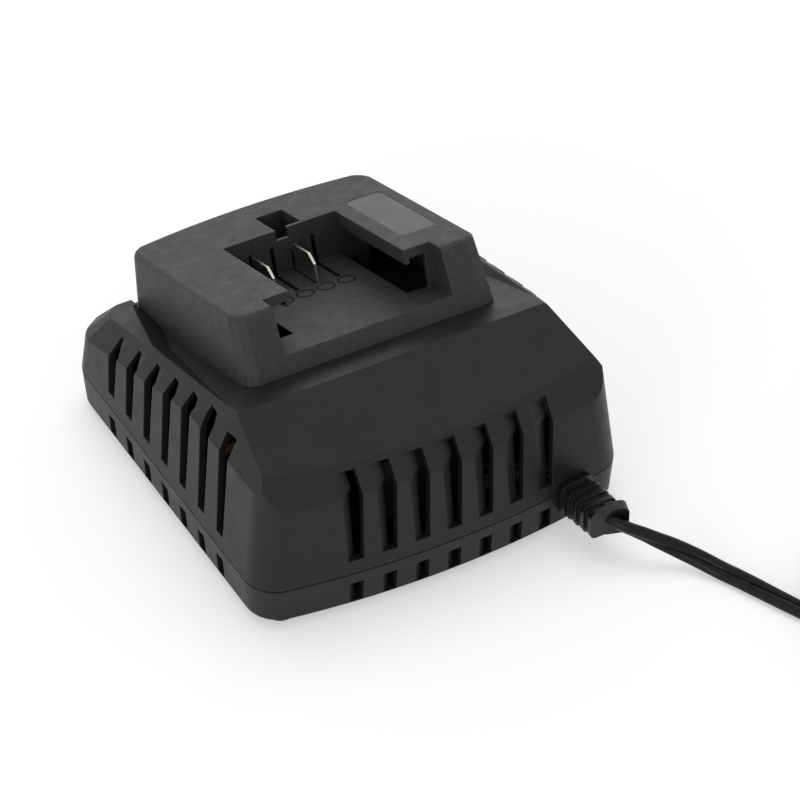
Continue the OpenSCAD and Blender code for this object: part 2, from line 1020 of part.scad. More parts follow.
module strain_relief() {
  hole = gland_hole / 2 - [clear, clear];
  color("#202122") {
    translate(gland)
      rotate([0, 0, gland_turn]) {
        relief_plate(0, 3.75, 6.2, 5, 1.6);
        relief_plate(0, 1.45, hole[0], hole[1], 4.7);
        relief_plate(0, -0.85, 5.75, 5.05, 1.6);
      }
    translate([0, 0, gland[2]]) {
      relief_plate(40.5, -62.5, 4.9, 4.2, 3.3);
      for (i = [1:4])
        relief_plate(40.3 + i * 0.36, -61.6 - i * 3.35, 5.7 - i * 0.1, 5 - i * 0.08, 1.7);
      for (i = [1:3])
        relief_plate(40.5 + i * 0.36, -63.2 - i * 3.35, 4.9 - i * 0.1, 4.2 - i * 0.08, 1.9);
    }
    translate([43.7, -76.9, gland[2]])
      rotate([0, 0, -18])
        relief_plate(0, 1.8, 4.2, 4.6, 3.6);
  }
}

// The two insulated cores from the strain relief to the board
module cord_conductors() {
  run = 6.2;
  color("#b9b9b4")
    for (x = [38.9, 41.5])
      translate([x, -55.4, gland[2]]) {
        rotate([-90, 0, 0])
          cylinder(h = run, r = 0.9);
        translate([0, run, 0])
          sphere(0.9);
        translate([0, run, board_top - gland[2]])
          cylinder(h = gland[2] - board_top, r = 0.9);
      }
}

// The cross-section of the flat lead, eight points round
function cord_ring() = [
  for (i = [0:7])
    [cos(i * 45) * cord_width / 2, sin(i * 45) * cord_thickness / 2]
];

// A tube with the lead's section along the points of a route
module cord_tube(route) {
  n = len(route);
  ring = cord_ring();
  m = len(ring);
  along = [
    for (i = [0:n - 1])
      unit(route[min(i + 1, n - 1)] - route[max(i - 1, 0)])
  ];
  rings = [
    for (i = [0:n - 1])
      let (side = unit(cross(along[i], [0, 0, 1])), top = cross(side, along[i]))
        for (q = ring)
          route[i] + side * q[0] + top * q[1]
  ];
  walls = [
    for (i = [0:n - 2], j = [0:m - 1])
      [i * m + j, i * m + (j + 1) % m, (i + 1) * m + (j + 1) % m, (i + 1) * m + j]
  ];
  caps = [[for (j = [m - 1:-1:0]) j], [for (j = [0:m - 1]) (n - 1) * m + j]];
  polyhedron(points = rings, faces = concat(walls, caps), convexity = 6);
}

module power_cord() {
  color("#202122")
    cord_tube(cord_route);
}

module cord_tail() {
  color("#202122")
    cord_tube(plug_route);
}

// The wound-up length of the lead, as one ring of its outer shape
module cord_coil() {
  color("#202122")
    translate([coil_at[0], coil_at[1], 0])
      rotate_extrude($fn = 96)
        translate([coil_radius, 0])
          rounded_box(-coil_w / 2, 0, coil_w / 2, coil_h, 1.7);
}

module plug_body() {
  color("#1f2021")
    translate(plug_at)
      rotate([-90, 0, 0]) {
        translate([0, 0, -1])
          linear_extrude(7)
            rounded_box(-4.5, -4, 4.5, 4, 2);
        translate([0, 0, 5.9])
          linear_extrude(17)
            rounded_box(-12, -7.4, 12, 7.4, 4);
      }
}

module plug_blades() {
  color("#b9a45c")
    for (side = [-1, 1])
      translate([plug_at[0] + side * plug_spacing / 2, plug_at[1] + 22.9, plug_at[2]])
        translate([-0.75, 0, -3.2])
          cube([1.5, plug_blade_length, 6.4]);
}

upper_shell();
lower_shell();
battery_dock();
label_plate();
terminal_positive();
terminal_negative();
terminal_block();
terminal_leads();
circuit_board();
transformer_core();
transformer_winding();
input_capacitor();
output_capacitors();
filter_capacitor();
choke_core();
choke_winding();
fuse_tube();
fuse_clips();
heat_sink();
power_transistor();
rectifier();
control_chip();
resistors();
case_screws();
board_screws();
dock_screws();
rubber_feet();
strain_relief();
cord_conductors();
power_cord();
cord_tail();
cord_coil();
plug_body();
plug_blades();
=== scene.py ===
"""Looks and studio of a desktop charger with a tilted dock for slide-in tool batteries.

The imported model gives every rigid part. This script dresses those parts, makes the flat
mains lead with its coil and tie, adds the marks on the floor of the dock, and sets up the
floor, the lamps and the camera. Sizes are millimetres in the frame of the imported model:
X across the case, Y from front to back, Z up from the table.
"""

import logging
import math
from dataclasses import dataclass, field
from enum import Enum
from functools import lru_cache
from typing import Any, Mapping, Sequence

import bpy
from mathutils import Matrix, Vector


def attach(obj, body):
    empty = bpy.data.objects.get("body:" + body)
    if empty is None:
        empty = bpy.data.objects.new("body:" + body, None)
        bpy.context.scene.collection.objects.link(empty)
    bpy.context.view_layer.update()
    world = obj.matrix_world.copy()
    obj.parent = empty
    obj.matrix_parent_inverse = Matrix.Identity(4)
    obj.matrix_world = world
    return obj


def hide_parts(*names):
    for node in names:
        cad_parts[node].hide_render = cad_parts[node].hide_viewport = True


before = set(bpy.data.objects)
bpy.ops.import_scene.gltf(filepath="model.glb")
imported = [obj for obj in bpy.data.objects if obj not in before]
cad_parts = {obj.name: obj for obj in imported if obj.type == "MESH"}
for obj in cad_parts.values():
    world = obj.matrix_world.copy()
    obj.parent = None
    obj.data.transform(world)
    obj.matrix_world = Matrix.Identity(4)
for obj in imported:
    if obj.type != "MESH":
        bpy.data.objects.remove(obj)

LOG = logging.getLogger("charger")
MM = 0.001
ROOT = "root"
UP = Vector((0, 0, 1))
Colour = tuple[float, float, float, float]
Place = tuple[float, float, float]
Shell = tuple[list[Vector], list[list[int]]]
Socket = bpy.types.NodeSocket


# ---------------------------------------------------------------- shared helpers


def linear(hex_colour: str) -> Colour:
    """Turns an sRGB hex colour into the linear colour that a shader takes.

    Args:
        hex_colour: The colour as six hex digits after a hash sign.

    Returns:
        Red, green, blue and an alpha of one.
    """
    parts = [int(hex_colour[i : i + 2], 16) / 255 for i in (1, 3, 5)]
    red, green, blue = (
        p / 12.92 if p <= 0.04045 else ((p + 0.055) / 1.055) ** 2.4 for p in parts
    )
    return red, green, blue, 1.0


def smooth(value: float, low: float, high: float) -> float:
    """Rises smoothly from 0 at low to 1 at high.

    Args:
        value: The value to place.
        low: Where the rise starts.
        high: Where the rise ends.

    Returns:
        A number from 0 to 1.
    """
    t = min(max((value - low) / (high - low), 0.0), 1.0)
    return t * t * (3 - 2 * t)


def add_node(
    tree: bpy.types.NodeTree,
    kind: str,
    settings: Mapping[str | int, Any] | None = None,
    links: Mapping[str | int, Socket] | None = None,
) -> bpy.types.Node:
    """Adds a node to a tree with its settings and links.

    Args:
        tree: The tree that gets the node.
        kind: The node's type without its ShaderNode prefix.
        settings: Values by the name of an attribute, or by the name or number of an input.
        links: Outputs of other nodes by the name or number of the input they feed.

    Returns:
        The new node.
    """
    node = tree.nodes.new("ShaderNode" + kind)
    for name, value in (settings or {}).items():
        if isinstance(name, str) and name in node.bl_rna.properties:
            setattr(node, name, value)
        else:
            node.inputs[name].default_value = value
    for name, output in (links or {}).items():
        tree.links.new(output, node.inputs[name])
    return node


def per_metre(size_mm: float) -> float:
    """Gives the scale of a pattern whose features are size_mm wide."""
    return 1 / (size_mm * MM)


def add_piece(
    name: str,
    points: Sequence[Vector],
    faces: Sequence[Sequence[int]],
    finish: "Finish",
    slot: str,
) -> bpy.types.Object:
    """Adds a smooth-shaded mesh piece that rides on the charger.

    Args:
        name: The piece's name.
        points: Its corners, in millimetres.
        faces: Its faces, as corner numbers.
        finish: The finish that it gets.
        slot: The record's material slot that the finish belongs to; not used.

    Returns:
        The new object.
    """
    mesh = bpy.data.meshes.new(name)
    mesh.from_pydata([p * MM for p in points], [], faces)
    mesh.validate()
    mesh.update()
    mesh.shade_smooth()
    mesh.materials.append(finish.material())
    piece = bpy.data.objects.new(name, mesh)
    bpy.context.scene.collection.objects.link(piece)
    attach(piece, ROOT)
    LOG.info("%s: %d faces in %s", name, len(mesh.polygons), finish.name)
    return piece


def tube(rings: Sequence[Sequence[Vector]], closed: bool = False) -> Shell:
    """Joins rings of points into a tube.

    Args:
        rings: The rings, each with the same number of points.
        closed: Whether the last ring joins the first, or both ends get a cap.

    Returns:
        The tube's points and faces.
    """
    n, m = len(rings), len(rings[0])
    points = [p for ring in rings for p in ring]
    faces = [
        [i * m + j, i * m + (j + 1) % m, (i + 1) % n * m + (j + 1) % m, (i + 1) % n * m + j]
        for i in range(n if closed else n - 1)
        for j in range(m)
    ]
    if not closed:
        faces += [list(range(m))[::-1], [(n - 1) * m + j for j in range(m)]]
    return points, faces


def joined(shells: Sequence[Shell]) -> Shell:
    """Puts the points and faces of several shells in one."""
    points: list[Vector] = []
    faces: list[list[int]] = []
    for more_points, more_faces in shells:
        faces += [[i + len(points) for i in face] for face in more_faces]
        points += more_points
    return points, faces


# ---------------------------------------------------------------- finishes

# The colour sockets of a Mix node, by number because it has their names more than once.
MIX_FIRST, MIX_SECOND, MIX_RESULT = 6, 7, 2
# Nearly all values of a noise lie between these two.
NOISE_LOW, NOISE_HIGH = 0.3, 0.7
NOISE_ROUGHNESS = 0.6
# Cosine between the softened normal and the face's own, on a face and on an edge.
FACE_COSINE, EDGE_COSINE = 0.995, 0.9
# Rays that soften an edge: as few as give an even line.
BEVEL_SAMPLES = 4
# Size of the patches of gloss, as a share of the size of the patches of tone.
GLOSS_PATCH = 0.6
# Share of the paler edge, partly worn and partly a painted highlight, that is left in its gaps.
EDGE_BREAK_LEFT = 0.3
# A wave texture repeats every pi / 10 of its coordinate at scale 1.
WAVE_REPEAT = math.pi / 10


class EdgeWearAndHighlight(Enum):
    """How pale and smooth the edges of a part are drawn: partly worn, partly a painted highlight.
    """

    NONE = (0.0, 0.0)
    # Slightly paler edges: partly worn, partly a painted highlight.
    LIGHT = (0.9, 0.08)
    # Clearly paler edges: partly worn, partly a painted highlight.
    HANDLED_AND_HIGHLIT = (2.4, 0.14)
    # Nearly all painted highlight: a much paler colour along the edges of the boot's ribs.
    RIB_HIGHLIGHT = (7.0, 0.12)

    def __init__(self, paler: float, smoother: float) -> None:
        """Names the two values.

        Args:
            paler: How much paler an edge is drawn, as a share of the colour: partly worn, partly a
                painted highlight.
            smoother: How far its roughness drops.
        """
        self.paler = paler
        self.smoother = smoother


class Axis(Enum):
    """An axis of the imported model, with the scale that draws a pattern out along it."""

    X = (0.04, 1, 1)
    Y = (1, 0.04, 1)
    Z = (1, 1, 0.04)


@dataclass
class Surface:
    """The tree of one material, with what all its patterns start from.

    Attributes:
        tree: The material's tree.
        edge_mm: Radius to which edges are softened.
        place: Coordinates on the object, in metres.
        softened: The normal with softened edges.
        worn_and_lit_edge: 1 on an edge and 0 on a face; it lays the paler edge colour, partly worn
            and partly a painted highlight.
    """

    tree: bpy.types.NodeTree
    edge_mm: float
    place: Socket = field(init=False)
    softened: Socket = field(init=False)
    worn_and_lit_edge: Socket = field(init=False)

    def __post_init__(self) -> None:
        """Adds the nodes that give the last three."""
        self.place = add_node(self.tree, "TexCoord").outputs["Object"]
        bevel = {"samples": BEVEL_SAMPLES, "Radius": self.edge_mm * MM}
        self.softened = add_node(self.tree, "Bevel", bevel).outputs["Normal"]
        own = add_node(self.tree, "NewGeometry").outputs["Normal"]
        cosine = add_node(
            self.tree, "VectorMath", {"operation": "DOT_PRODUCT"}, {0: self.softened, 1: own}
        ).outputs["Value"]
        # 1 along edges: it drives the paler edge colour, partly worn and partly a painted
        #                highlight, and the smoother edges.
        self.worn_and_lit_edge = add_node(
            self.tree,
            "MapRange",
            {"From Min": FACE_COSINE, "From Max": EDGE_COSINE, "To Min": 0.0, "To Max": 1.0},
            {"Value": cosine},
        ).outputs["Result"]

    def lumps(
        self,
        size_mm: float,
        detail: float,
        low: float = 0.0,
        high: float = 1.0,
        within: tuple[float, float] = (NOISE_LOW, NOISE_HIGH),
    ) -> Socket:
        """Makes a value that drifts between low and high in uneven lumps.

        Args:
            size_mm: Width of one lump.
            detail: How many finer layers the lumps have.
            low: The lowest value.
            high: The highest value.
            within: The two values of the noise that become low and high.

        Returns:
            The value.
        """
        noise = add_node(
            self.tree,
            "TexNoise",
            {"Scale": per_metre(size_mm), "Detail": detail, "Roughness": NOISE_ROUGHNESS},
            {"Vector": self.place},
        )
        return add_node(
            self.tree,
            "MapRange",
            {"From Min": within[0], "From Max": within[1], "To Min": low, "To Max": high},
            {"Value": noise.outputs[0]},
        ).outputs["Result"]


@dataclass(frozen=True)
class Finish:
    """A finish of the object, made as one node material.

    Attributes:
        name: Name of the material.
        colour: sRGB hex colour of the bare material.
        roughness: Mean roughness of its surface.
        uneven: How far the roughness drifts, as a share of it.
        grain_mm: Width of one grain of its surface.
        depth_mm: Height of that grain.
        patch_mm: Size of the soft patches in which its tone drifts.
        drift: How far the tone drifts, as a share of the colour.
        edge_mm: Radius to which its edges are softened.
        wear_and_highlight: How pale and smooth its edges are drawn, partly worn and partly a
            painted highlight.
        edge_break_mm: Size of the gaps in the paler edges.
        specular: Level of its reflection, where 0.5 is what its IOR gives.
        ior: Its index of refraction.
    """

    name: str
    colour: str
    roughness: float = 0.5
    uneven: float = 0.12
    grain_mm: float = 0.5
    depth_mm: float = 0.01
    patch_mm: float = 9.0
    drift: float = 0.1
    edge_mm: float = 0.3
    wear_and_highlight: EdgeWearAndHighlight = EdgeWearAndHighlight.NONE
    edge_break_mm: float = 1.6
    specular: float = 0.5
    ior: float = 1.5

    @lru_cache(maxsize=None)
    def material(self) -> bpy.types.Material:
        """Makes the material at the first call and gives the same one at every other."""
        made = bpy.data.materials.new(self.name)
        made.use_nodes = True
        tree = made.node_tree
        shader = tree.nodes["Principled BSDF"]
        on = Surface(tree, self.edge_mm)
        for name, output in {
            "Base Color": self.tone(on),
            "Roughness": self.polish(on),
            "Normal": self.relief(on),
        }.items():
            tree.links.new(output, shader.inputs[name])
        self.settle(shader)
        return made

    def settle(self, shader: bpy.types.Node) -> None:
        """Sets what is the same all over on the shader's own sockets."""
        shader.inputs["Specular IOR Level"].default_value = self.specular
        shader.inputs["IOR"].default_value = self.ior

    def shade(self, share: float) -> Colour:
        """Gives the finish's colour made share times as bright."""
        red, green, blue, _ = linear(self.colour)
        return red * share, green * share, blue * share, 1.0

    def tone(self, on: Surface) -> Socket:
        """Gives the colour: soft patches, and paler along the edges, partly worn and partly a
        painted highlight.

        Args:
            on: The surface that it colours.

        Returns:
            The colour.
        """
        darker, brighter = self.shade(1 - self.drift), self.shade(1 + self.drift)
        body = add_node(
            on.tree,
            "Mix",
            {"data_type": "RGBA", MIX_FIRST: darker, MIX_SECOND: brighter},
            {0: on.lumps(self.patch_mm, detail=4.0)},
        ).outputs[MIX_RESULT]
        if not self.wear_and_highlight.paler:
            return body
        # The paler edge colour, partly worn and partly a painted highlight, broken into gaps.
        broken = {0: on.worn_and_lit_edge, 1: on.lumps(self.edge_break_mm, detail=3.0, low=EDGE_BREAK_LEFT)}
        share = add_node(on.tree, "Math", {"operation": "MULTIPLY"}, broken).outputs[0]
        return self.paler(on, body, share, self.wear_and_highlight.paler)

    def paler(self, on: Surface, body: Socket, share: Socket, extra: float) -> Socket:
        """Lays a paler shade over a colour.

        Args:
            on: The surface that it colours.
            body: The colour below.
            share: How much of the paler shade shows, from 0 to 1.
            extra: How much paler it is, as a share of the colour.

        Returns:
            The colour with the paler shade on it.
        """
        return add_node(
            on.tree,
            "Mix",
            {"data_type": "RGBA", MIX_SECOND: self.shade(1 + extra)},
            {0: share, MIX_FIRST: body},
        ).outputs[MIX_RESULT]

    def polish(self, on: Surface) -> Socket:
        """Gives the roughness: it drifts in patches and drops along the edges.

        Args:
            on: The surface that it polishes.

        Returns:
            The roughness.
        """
        smoothest, roughest = self.roughness * (1 - self.uneven), self.roughness * (1 + self.uneven)
        rough = on.lumps(self.patch_mm * GLOSS_PATCH, 5.0, smoothest, roughest)
        drop = add_node(
            on.tree, "Math", {"operation": "MULTIPLY", 1: self.wear_and_highlight.smoother}, {0: on.worn_and_lit_edge}
        ).outputs[0]
        return add_node(
            on.tree, "Math", {"operation": "SUBTRACT", "use_clamp": True}, {0: rough, 1: drop}
        ).outputs[0]

    def height(self, on: Surface) -> Socket:
        """Gives the height of the grain, from 0 to 1.

        Args:
            on: The surface that it roughens.

        Returns:
            The height.
        """
        return add_node(
            on.tree,
            "TexNoise",
            {"Scale": per_metre(self.grain_mm), "Detail": 3.0, "Roughness": NOISE_ROUGHNESS},
            {"Vector": on.place},
        ).outputs[0]

    def relief(self, on: Surface) -> Socket:
        """Gives the normal: the softened edges with the grain on them.

        Args:
            on: The surface that it roughens.

        Returns:
            The normal.
        """
        return add_node(
            on.tree,
            "Bump",
            {"Strength": 1.0, "Distance": self.depth_mm * MM},
            {"Height": self.height(on), "Normal": on.softened},
        ).outputs["Normal"]


@dataclass(frozen=True)
class MouldedPlastic(Finish):
    """Glass-filled nylon or ABS from a textured mould: dull, with a fine even grain.

    Attributes:
        pit_share: Width of a pit of the mould, as a share of the grain's.
        smooth_sides: Share of the grain that is left on faces that look along X, which
            slide out of the mould and so come out smoother.
        side_cosines: How squarely a face looks along X where it starts to be smoother,
            and where it is as smooth as it gets.
        speck: How much paler the ends of glass fibres at the surface are than the nylon.
        speck_mm: Size of such a speck, drawn coarser than the real one so that it shows.
        speck_within: The values of the noise at which a speck starts and is full.
    """

    pit_share: float = 1.3
    smooth_sides: float = 1.0
    side_cosines: tuple[float, float] = (0.6, 0.85)
    speck: float = 0.0
    speck_mm: float = 0.4
    speck_within: tuple[float, float] = (0.5, 0.68)

    def tone(self, on: Surface) -> Socket:
        """Gives the colour, with pale specks where glass fibres reach the surface.

        Args:
            on: The surface that it colours.

        Returns:
            The colour.
        """
        body = super().tone(on)
        if not self.speck:
            return body
        dots = on.lumps(self.speck_mm, detail=1.0, within=self.speck_within)
        return self.paler(on, body, dots, self.speck)

    def height(self, on: Surface) -> Socket:
        """Gives rounded pits of two sizes, as a spark-eroded mould leaves them.

        Args:
            on: The surface that it roughens.

        Returns:
            The height.
        """
        pits = add_node(
            on.tree,
            "TexVoronoi",
            {"feature": "SMOOTH_F1", "Scale": per_metre(self.grain_mm * self.pit_share)},
            {"Vector": on.place},
        ).outputs["Distance"]
        both = {0: super().height(on), 1: pits}
        grain = add_node(on.tree, "Math", {"operation": "ADD"}, both).outputs[0]
        if self.smooth_sides >= 1:
            return grain
        own = add_node(on.tree, "NewGeometry").outputs["True Normal"]
        sideways = add_node(on.tree, "SeparateXYZ", None, {0: own}).outputs["X"]
        flat = add_node(on.tree, "Math", {"operation": "ABSOLUTE"}, {0: sideways}).outputs[0]
        start, end = self.side_cosines
        left = add_node(
            on.tree,
            "MapRange",
            {"From Min": start, "From Max": end, "To Min": 1.0, "To Max": self.smooth_sides},
            {"Value": flat},
        ).outputs["Result"]
        return add_node(on.tree, "Math", {"operation": "MULTIPLY"}, {0: grain, 1: left}).outputs[0]


@dataclass(frozen=True)
class SoftPvc(Finish):
    """Plasticised PVC or rubber: a soft skin with a broad sheen and no grain to speak of."""

    edge_mm: float = 0.35
    depth_mm: float = 0.006
    grain_mm: float = 0.8


@dataclass(frozen=True)
class BareMetal(Finish):
    """Bare or plated metal, with fine drawing marks along one axis.

    Attributes:
        along: The axis that the marks follow.
        mark_mm: Distance between marks.
    """

    along: Axis = Axis.Y
    mark_mm: float = 0.35
    edge_mm: float = 0.15
    depth_mm: float = 0.004
    drift: float = 0.06

    def settle(self, shader: bpy.types.Node) -> None:
        """Makes the shader a metal and leaves its IOR as it is."""
        shader.inputs["Metallic"].default_value = 1.0

    def height(self, on: Surface) -> Socket:
        """Gives noise that is drawn out along the axis of the marks."""
        drawn = add_node(on.tree, "Mapping", {"Scale": self.along.value}, {"Vector": on.place})
        return add_node(
            on.tree,
            "TexNoise",
            {"Scale": per_metre(self.mark_mm), "Detail": 2.0, "Roughness": NOISE_ROUGHNESS},
            {"Vector": drawn.outputs[0]},
        ).outputs[0]


@dataclass(frozen=True)
class WoundWire(BareMetal):
    """Enamelled copper wire in close turns: warm metal with a rib for every turn.

    Attributes:
        wire_mm: Thickness of the wire.
    """

    wire_mm: float = 0.9

    def height(self, on: Surface) -> Socket:
        """Gives one rib for each turn of the wire."""
        turns = {
            "bands_direction": self.along.name,
            "Scale": WAVE_REPEAT * per_metre(self.wire_mm),
        }
        return add_node(on.tree, "TexWave", turns, {"Vector": on.place}).outputs["Fac"]


@dataclass(frozen=True)
class GlassEpoxyBoard(Finish):
    """Glass-epoxy laminate under solder mask: the weave shows faintly through it.

    Attributes:
        thread_mm: Width of one thread of the glass cloth, drawn twice as coarse as real.
    """

    thread_mm: float = 1.0

    def height(self, on: Surface) -> Socket:
        """Gives a plain weave of two sets of threads."""
        scale = WAVE_REPEAT * per_metre(self.thread_mm)
        weave = {
            number: add_node(
                on.tree,
                "TexWave",
                {"bands_direction": axis.name, "Scale": scale},
                {"Vector": on.place},
            ).outputs["Fac"]
            for number, axis in enumerate((Axis.X, Axis.Y))
        }
        return add_node(on.tree, "Math", {"operation": "MULTIPLY"}, weave).outputs[0]


@dataclass(frozen=True)
class ClearGlass(Finish):
    """Drawn soda-lime glass tube, clear with slight waves.

    Attributes:
        clear: Share of the light that passes through it.
    """

    clear: float = 0.9
    ior: float = 1.52

    def settle(self, shader: bpy.types.Node) -> None:
        """Makes the shader transmit light."""
        super().settle(shader)
        shader.inputs["Transmission Weight"].default_value = self.clear


# Black glass-filled nylon, satin from the mould: charcoal, never quite black in the light.
# Its real grain is about 0.2 mm; it is drawn at 0.7 mm so that it shows.
CASE_NYLON = MouldedPlastic(
    "nylon_case_satin_moulded",
    "#181818",
    roughness=0.46,
    grain_mm=0.7,
    depth_mm=0.022,
    patch_mm=14,
    edge_mm=0.35,
    wear_and_highlight=EdgeWearAndHighlight.LIGHT,
    specular=0.26,
    ior=1.53,
)
# The lower half comes from a second mould and reads a shade paler.
BASE_NYLON = MouldedPlastic(
    "nylon_base_satin_moulded",
    "#1a1a1a",
    roughness=0.48,
    grain_mm=0.7,
    depth_mm=0.022,
    patch_mm=12,
    edge_mm=0.35,
    wear_and_highlight=EdgeWearAndHighlight.LIGHT,
    specular=0.28,
    ior=1.53,
)
# The dock: the same nylon with a coarse spark-eroded skin, which scatters the light and
# reads greyer. Real grain is about 0.3 mm; it is drawn at 0.6 mm so that it shows.
DOCK_NYLON = MouldedPlastic(
    "nylon_dock_spark_eroded",
    "#252626",
    roughness=0.56,
    grain_mm=0.6,
    depth_mm=0.045,
    patch_mm=7,
    drift=0.08,
    edge_mm=0.4,
    # Its edges are drawn clearly paler: partly worn, partly a painted highlight.
    wear_and_highlight=EdgeWearAndHighlight.HANDLED_AND_HIGHLIT,
    specular=0.36,
    ior=1.53,
    smooth_sides=0.35,
    speck=1.3,
)
# The rings are drawn nearly black, darker than the dock's nylon round them: painted shade where the
# dock's floor shows dark slits.
SLIT_SHADE_NYLON = MouldedPlastic(
    "nylon_mark_painted_shade", "#0d0d0d", roughness=0.6, edge_mm=0.1, specular=0.15
)
# A bare polyester label: an even grey film, paler and flatter than the plastic round it.
LABEL_FILM = Finish(
    "polyester_label_matt_film",
    "#555658",
    roughness=0.42,
    grain_mm=0.35,
    depth_mm=0.003,
    patch_mm=20,
    drift=0.03,
    edge_mm=0.12,
    specular=0.18,
    ior=1.6,
)
# Nickel on bronze: bright and slightly warm, with marks from the press tool.
NICKEL = BareMetal("nickel_plated_stamped", "#d2cfc8", roughness=0.24, edge_mm=0.38)
# Dark glass-filled polyester that holds the contacts: a dull brown-grey in the shade.
BLOCK_POLYESTER = MouldedPlastic("polyester_block_moulded", "#2e2d2a", roughness=0.55)
# Wire insulation: soft and even in colour, the only strong red inside the case.
RED_PVC = SoftPvc("pvc_wire_red_extruded", "#7a1c18", roughness=0.4)
# The insulation of the mains cores, a greyed white.
WHITE_PVC = SoftPvc("pvc_wire_white_extruded", "#a3a39d", roughness=0.4)
# Glass-epoxy under a dark solder mask: satin green-black, seen dimly through the slots.
BOARD = GlassEpoxyBoard("glass_epoxy_dark_solder_mask", "#0f1a12", roughness=0.45, edge_mm=0.1)
# Sintered ferrite: dead matt grey with a gritty skin.
FERRITE = Finish(
    "ferrite_sintered", "#232425", roughness=0.7, grain_mm=0.3, depth_mm=0.02, drift=0.2
)
# Polyester tape in turns: dark brown, slightly glossy, with soft ridges where it overlaps.
WINDING_TAPE = Finish(
    "polyester_tape_wound", "#1a1713", roughness=0.4, grain_mm=2.5, depth_mm=0.05
)
# The sleeve shrunk on a capacitor's can: thin blue-black PVC with a loose, wavy gloss.
CAN_SLEEVE = Finish("pvc_sleeve_shrunk", "#15181f", roughness=0.35, grain_mm=3, depth_mm=0.03)
# The film capacitor's case: flame-proof epoxy, a flat dark olive.
FILM_CASE = Finish("epoxy_film_case_moulded", "#242118")
# Enamelled copper: a warm glint, broken up by its turns.
COPPER_WIRE = WoundWire(
    "copper_enamelled_wound", "#b4683c", roughness=0.3, along=Axis.X, depth_mm=0.25
)
# The fuse's tube: clear, with a bright line along it.
FUSE_GLASS = ClearGlass("soda_glass_drawn", "#e6ecec", roughness=0.05)
# Tin on brass: a dulled silver grey.
TIN = BareMetal("brass_tinned_bright", "#6b6b68", roughness=0.4, along=Axis.Z)
# Black anodised aluminium: dark metal that shows only a broad soft highlight.
ALUMINIUM = BareMetal(
    "aluminium_anodised_black", "#2a2b2c", roughness=0.5, along=Axis.Z, mark_mm=0.5
)
# The packages of the semiconductors: matt black epoxy with a fine grain.
EPOXY = Finish("epoxy_package_moulded", "#1f2022", roughness=0.6, grain_mm=0.4)
# Dipped lacquer: sand-coloured, rounded and a little glossy.
RESISTOR_LACQUER = Finish("resistor_lacquer_dipped", "#9c8058", roughness=0.35, grain_mm=1.5)
# Zinc on steel: pale blue-grey, with a soft crystalline drift.
ZINC_STEEL = BareMetal(
    "steel_zinc_plated", "#8f9498", roughness=0.35, along=Axis.Z, drift=0.15
)
# The feet: filled rubber, the dullest black on the object.
FOOT_RUBBER = SoftPvc(
    "rubber_foot_moulded", "#1b1b1c", roughness=0.75, grain_mm=0.5, depth_mm=0.02
)
# The strain relief: flexible PVC, glossier than the case; the thin bright edges of its ribs are a
# painted highlight, a much paler colour along them.
BOOT_PVC = SoftPvc(
    "pvc_strain_relief_moulded",
    "#0e0f0f",
    roughness=0.3,
    wear_and_highlight=EdgeWearAndHighlight.RIB_HIGHLIGHT,
    specular=0.38,
)
# The lead's jacket: extruded PVC, nearly black with a long gloss.
LEAD_PVC = SoftPvc(
    "pvc_flat_lead_extruded", "#0c0c0d", roughness=0.34, grain_mm=1.2, specular=0.2, patch_mm=25
)
# The plug: the same PVC in a harder grade, satin black.
PLUG_PVC = SoftPvc("pvc_plug_moulded", "#191a1a", roughness=0.4, wear_and_highlight=EdgeWearAndHighlight.LIGHT)
# Bare brass blades: yellow metal with fine marks along their length.
BRASS = BareMetal("brass_blade_stamped", "#b79c5f", roughness=0.3)
# The nylon tie that holds the coil: hard and plain, a shade paler than the jacket.
TIE_NYLON = MouldedPlastic("nylon_tie_moulded", "#1d1d1e", roughness=0.4, edge_mm=0.1)


# ---------------------------------------------------------------- sub-assemblies


@dataclass
class Dressing:
    """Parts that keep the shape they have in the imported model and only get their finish.

    Attributes:
        what: What this group of parts is.
        parts: The finish of each part, by node.
    """

    what: str
    parts: Mapping[str, Finish]

    def build(self) -> None:
        """Gives each part its finish in all its material slots."""
        for node, finish in self.parts.items():
            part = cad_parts[node]
            for slot in part.material_slots:
                slot.material = finish.material()
            if not part.material_slots:
                part.data.materials.append(finish.material())
            LOG.info("%s, %s: %s", self.what, node, finish.name)


CASE = Dressing(
    "case",
    {
        "upper_shell": CASE_NYLON,
        "lower_shell": BASE_NYLON,
        "rubber_feet": FOOT_RUBBER,
        "case_screws": ZINC_STEEL,
        "board_screws": ZINC_STEEL,
        "dock_screws": ZINC_STEEL,
    },
)
DOCK = Dressing(
    "dock",
    {
        "battery_dock": DOCK_NYLON,
        "label_plate": LABEL_FILM,
        "terminal_positive": NICKEL,
        "terminal_negative": NICKEL,
        "terminal_block": BLOCK_POLYESTER,
        "terminal_leads": RED_PVC,
    },
)
ELECTRONICS = Dressing(
    "electronics",
    {
        "circuit_board": BOARD,
        "transformer_core": FERRITE,
        "transformer_winding": WINDING_TAPE,
        "input_capacitor": CAN_SLEEVE,
        "output_capacitors": CAN_SLEEVE,
        "filter_capacitor": FILM_CASE,
        "choke_core": FERRITE,
        "choke_winding": COPPER_WIRE,
        "fuse_tube": FUSE_GLASS,
        "fuse_clips": TIN,
        "heat_sink": ALUMINIUM,
        "power_transistor": EPOXY,
        "rectifier": EPOXY,
        "control_chip": EPOXY,
        "resistors": RESISTOR_LACQUER,
        "cord_conductors": WHITE_PVC,
    },
)
MAINS_ENDS = Dressing(
    "mains lead",
    {"strain_relief": BOOT_PVC, "plug_body": PLUG_PVC, "plug_blades": BRASS},
)


